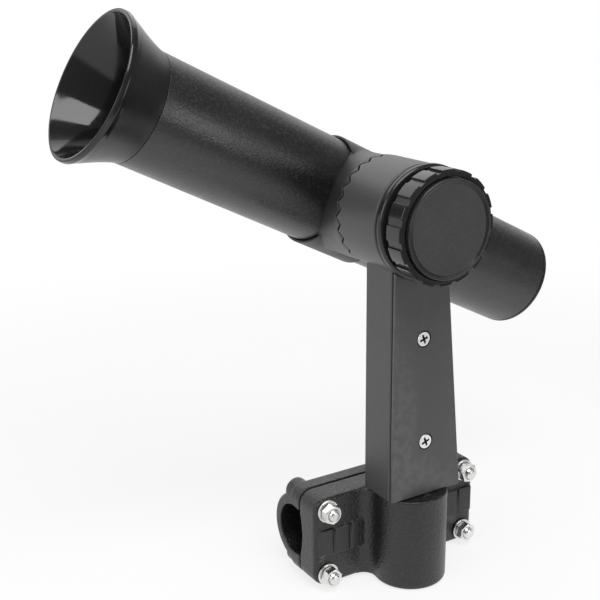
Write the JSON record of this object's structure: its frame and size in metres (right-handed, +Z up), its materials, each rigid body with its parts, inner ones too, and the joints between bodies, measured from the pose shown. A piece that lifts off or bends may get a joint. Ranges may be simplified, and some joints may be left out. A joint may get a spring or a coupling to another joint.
{
  "type": "rail-mount fishing rod holder",
  "caption": "Flared tube that holds a fishing rod at a set tilt on a toothed, knob-locked joint, on a swivelling post bolted round a horizontal rail.",
  "frame": {"origin": "middle of the rail bore in the back half, straight behind the swivel axis of the post", "axes": "+X along the rail, +Y from the tightening knob towards the rod tube, +Z up"},
  "size_m": [0.2554, 0.1244, 0.2558],
  "materials": {
    "nylon": "grained moulded black nylon",
    "satin_plastic": "satin black moulding",
    "gloss_plastic": "polished black moulding",
    "textured_plastic": "fine speckled black",
    "bright_steel": "bright zinc or stainless hardware",
    "brass": "turned brass"
  },
  "bodies": {
    "clamp": {"clamp_front_half": "nylon", "clamp_washer_upper_left": "bright_steel", "clamp_washer_upper_right": "bright_steel", "clamp_washer_lower_left": "bright_steel", "clamp_washer_lower_right": "bright_steel", "clamp_nut_upper_left": "bright_steel", "clamp_nut_upper_right": "bright_steel", "clamp_nut_lower_left": "bright_steel", "clamp_nut_lower_right": "bright_steel"},
    "jaw": {"clamp_back_half": "nylon", "clamp_bolt_upper_left": "bright_steel", "clamp_bolt_upper_right": "bright_steel", "clamp_bolt_lower_left": "bright_steel", "clamp_bolt_lower_right": "bright_steel"},
    "post": {"post_shell": "satin_plastic", "post_cover": "satin_plastic", "cover_screw_upper": "bright_steel", "cover_screw_lower": "bright_steel", "swivel_spigot": "bright_steel", "swivel_washer": "bright_steel", "swivel_screw": "bright_steel", "knob_washer": "bright_steel", "release_spring": "bright_steel"},
    "knob": {"knob_body": "gloss_plastic", "knob_cap": "satin_plastic", "knob_nut": "brass"},
    "release_seat": {"release_washer": "bright_steel"},
    "tube": {"rod_tube": "textured_plastic", "mouth_cup": "gloss_plastic", "tail_plug": "satin_plastic", "tube_saddle": "satin_plastic", "pivot_bolt": "bright_steel"}
  },
  "joints": [
    {"name": "jaw_open", "type": "slide", "parent": "clamp", "child": "jaw", "axis": [0, 1, 0], "range_m": [0, 0.003]},
    {"name": "post_swivel", "type": "hinge", "parent": "clamp", "child": "post", "pos_m": [0, -0.028, 0], "axis": [0, 0, 1], "range_deg": [-180, 180]},
    {"name": "knob_turn", "type": "hinge", "parent": "post", "child": "knob", "pos_m": [-0.005, -0.045, 0.1477], "axis": [0, -1, 0], "range_deg": [0, 864]},
    {"name": "tube_release", "type": "slide", "parent": "post", "child": "release_seat", "axis": [0, 1, 0], "range_m": [0, 0.003], "deforming": ["release_spring"]},
    {"name": "tube_tilt", "type": "hinge", "parent": "release_seat", "child": "tube", "pos_m": [-0.005, 0.0336, 0.1477], "axis": [0, 1, 0], "range_deg": [-60, 30]}
  ],
  "couplings": [
    {"joint": "knob_turn", "follows": "tube_release", "rad_per_m": 5026.5}
  ]
}
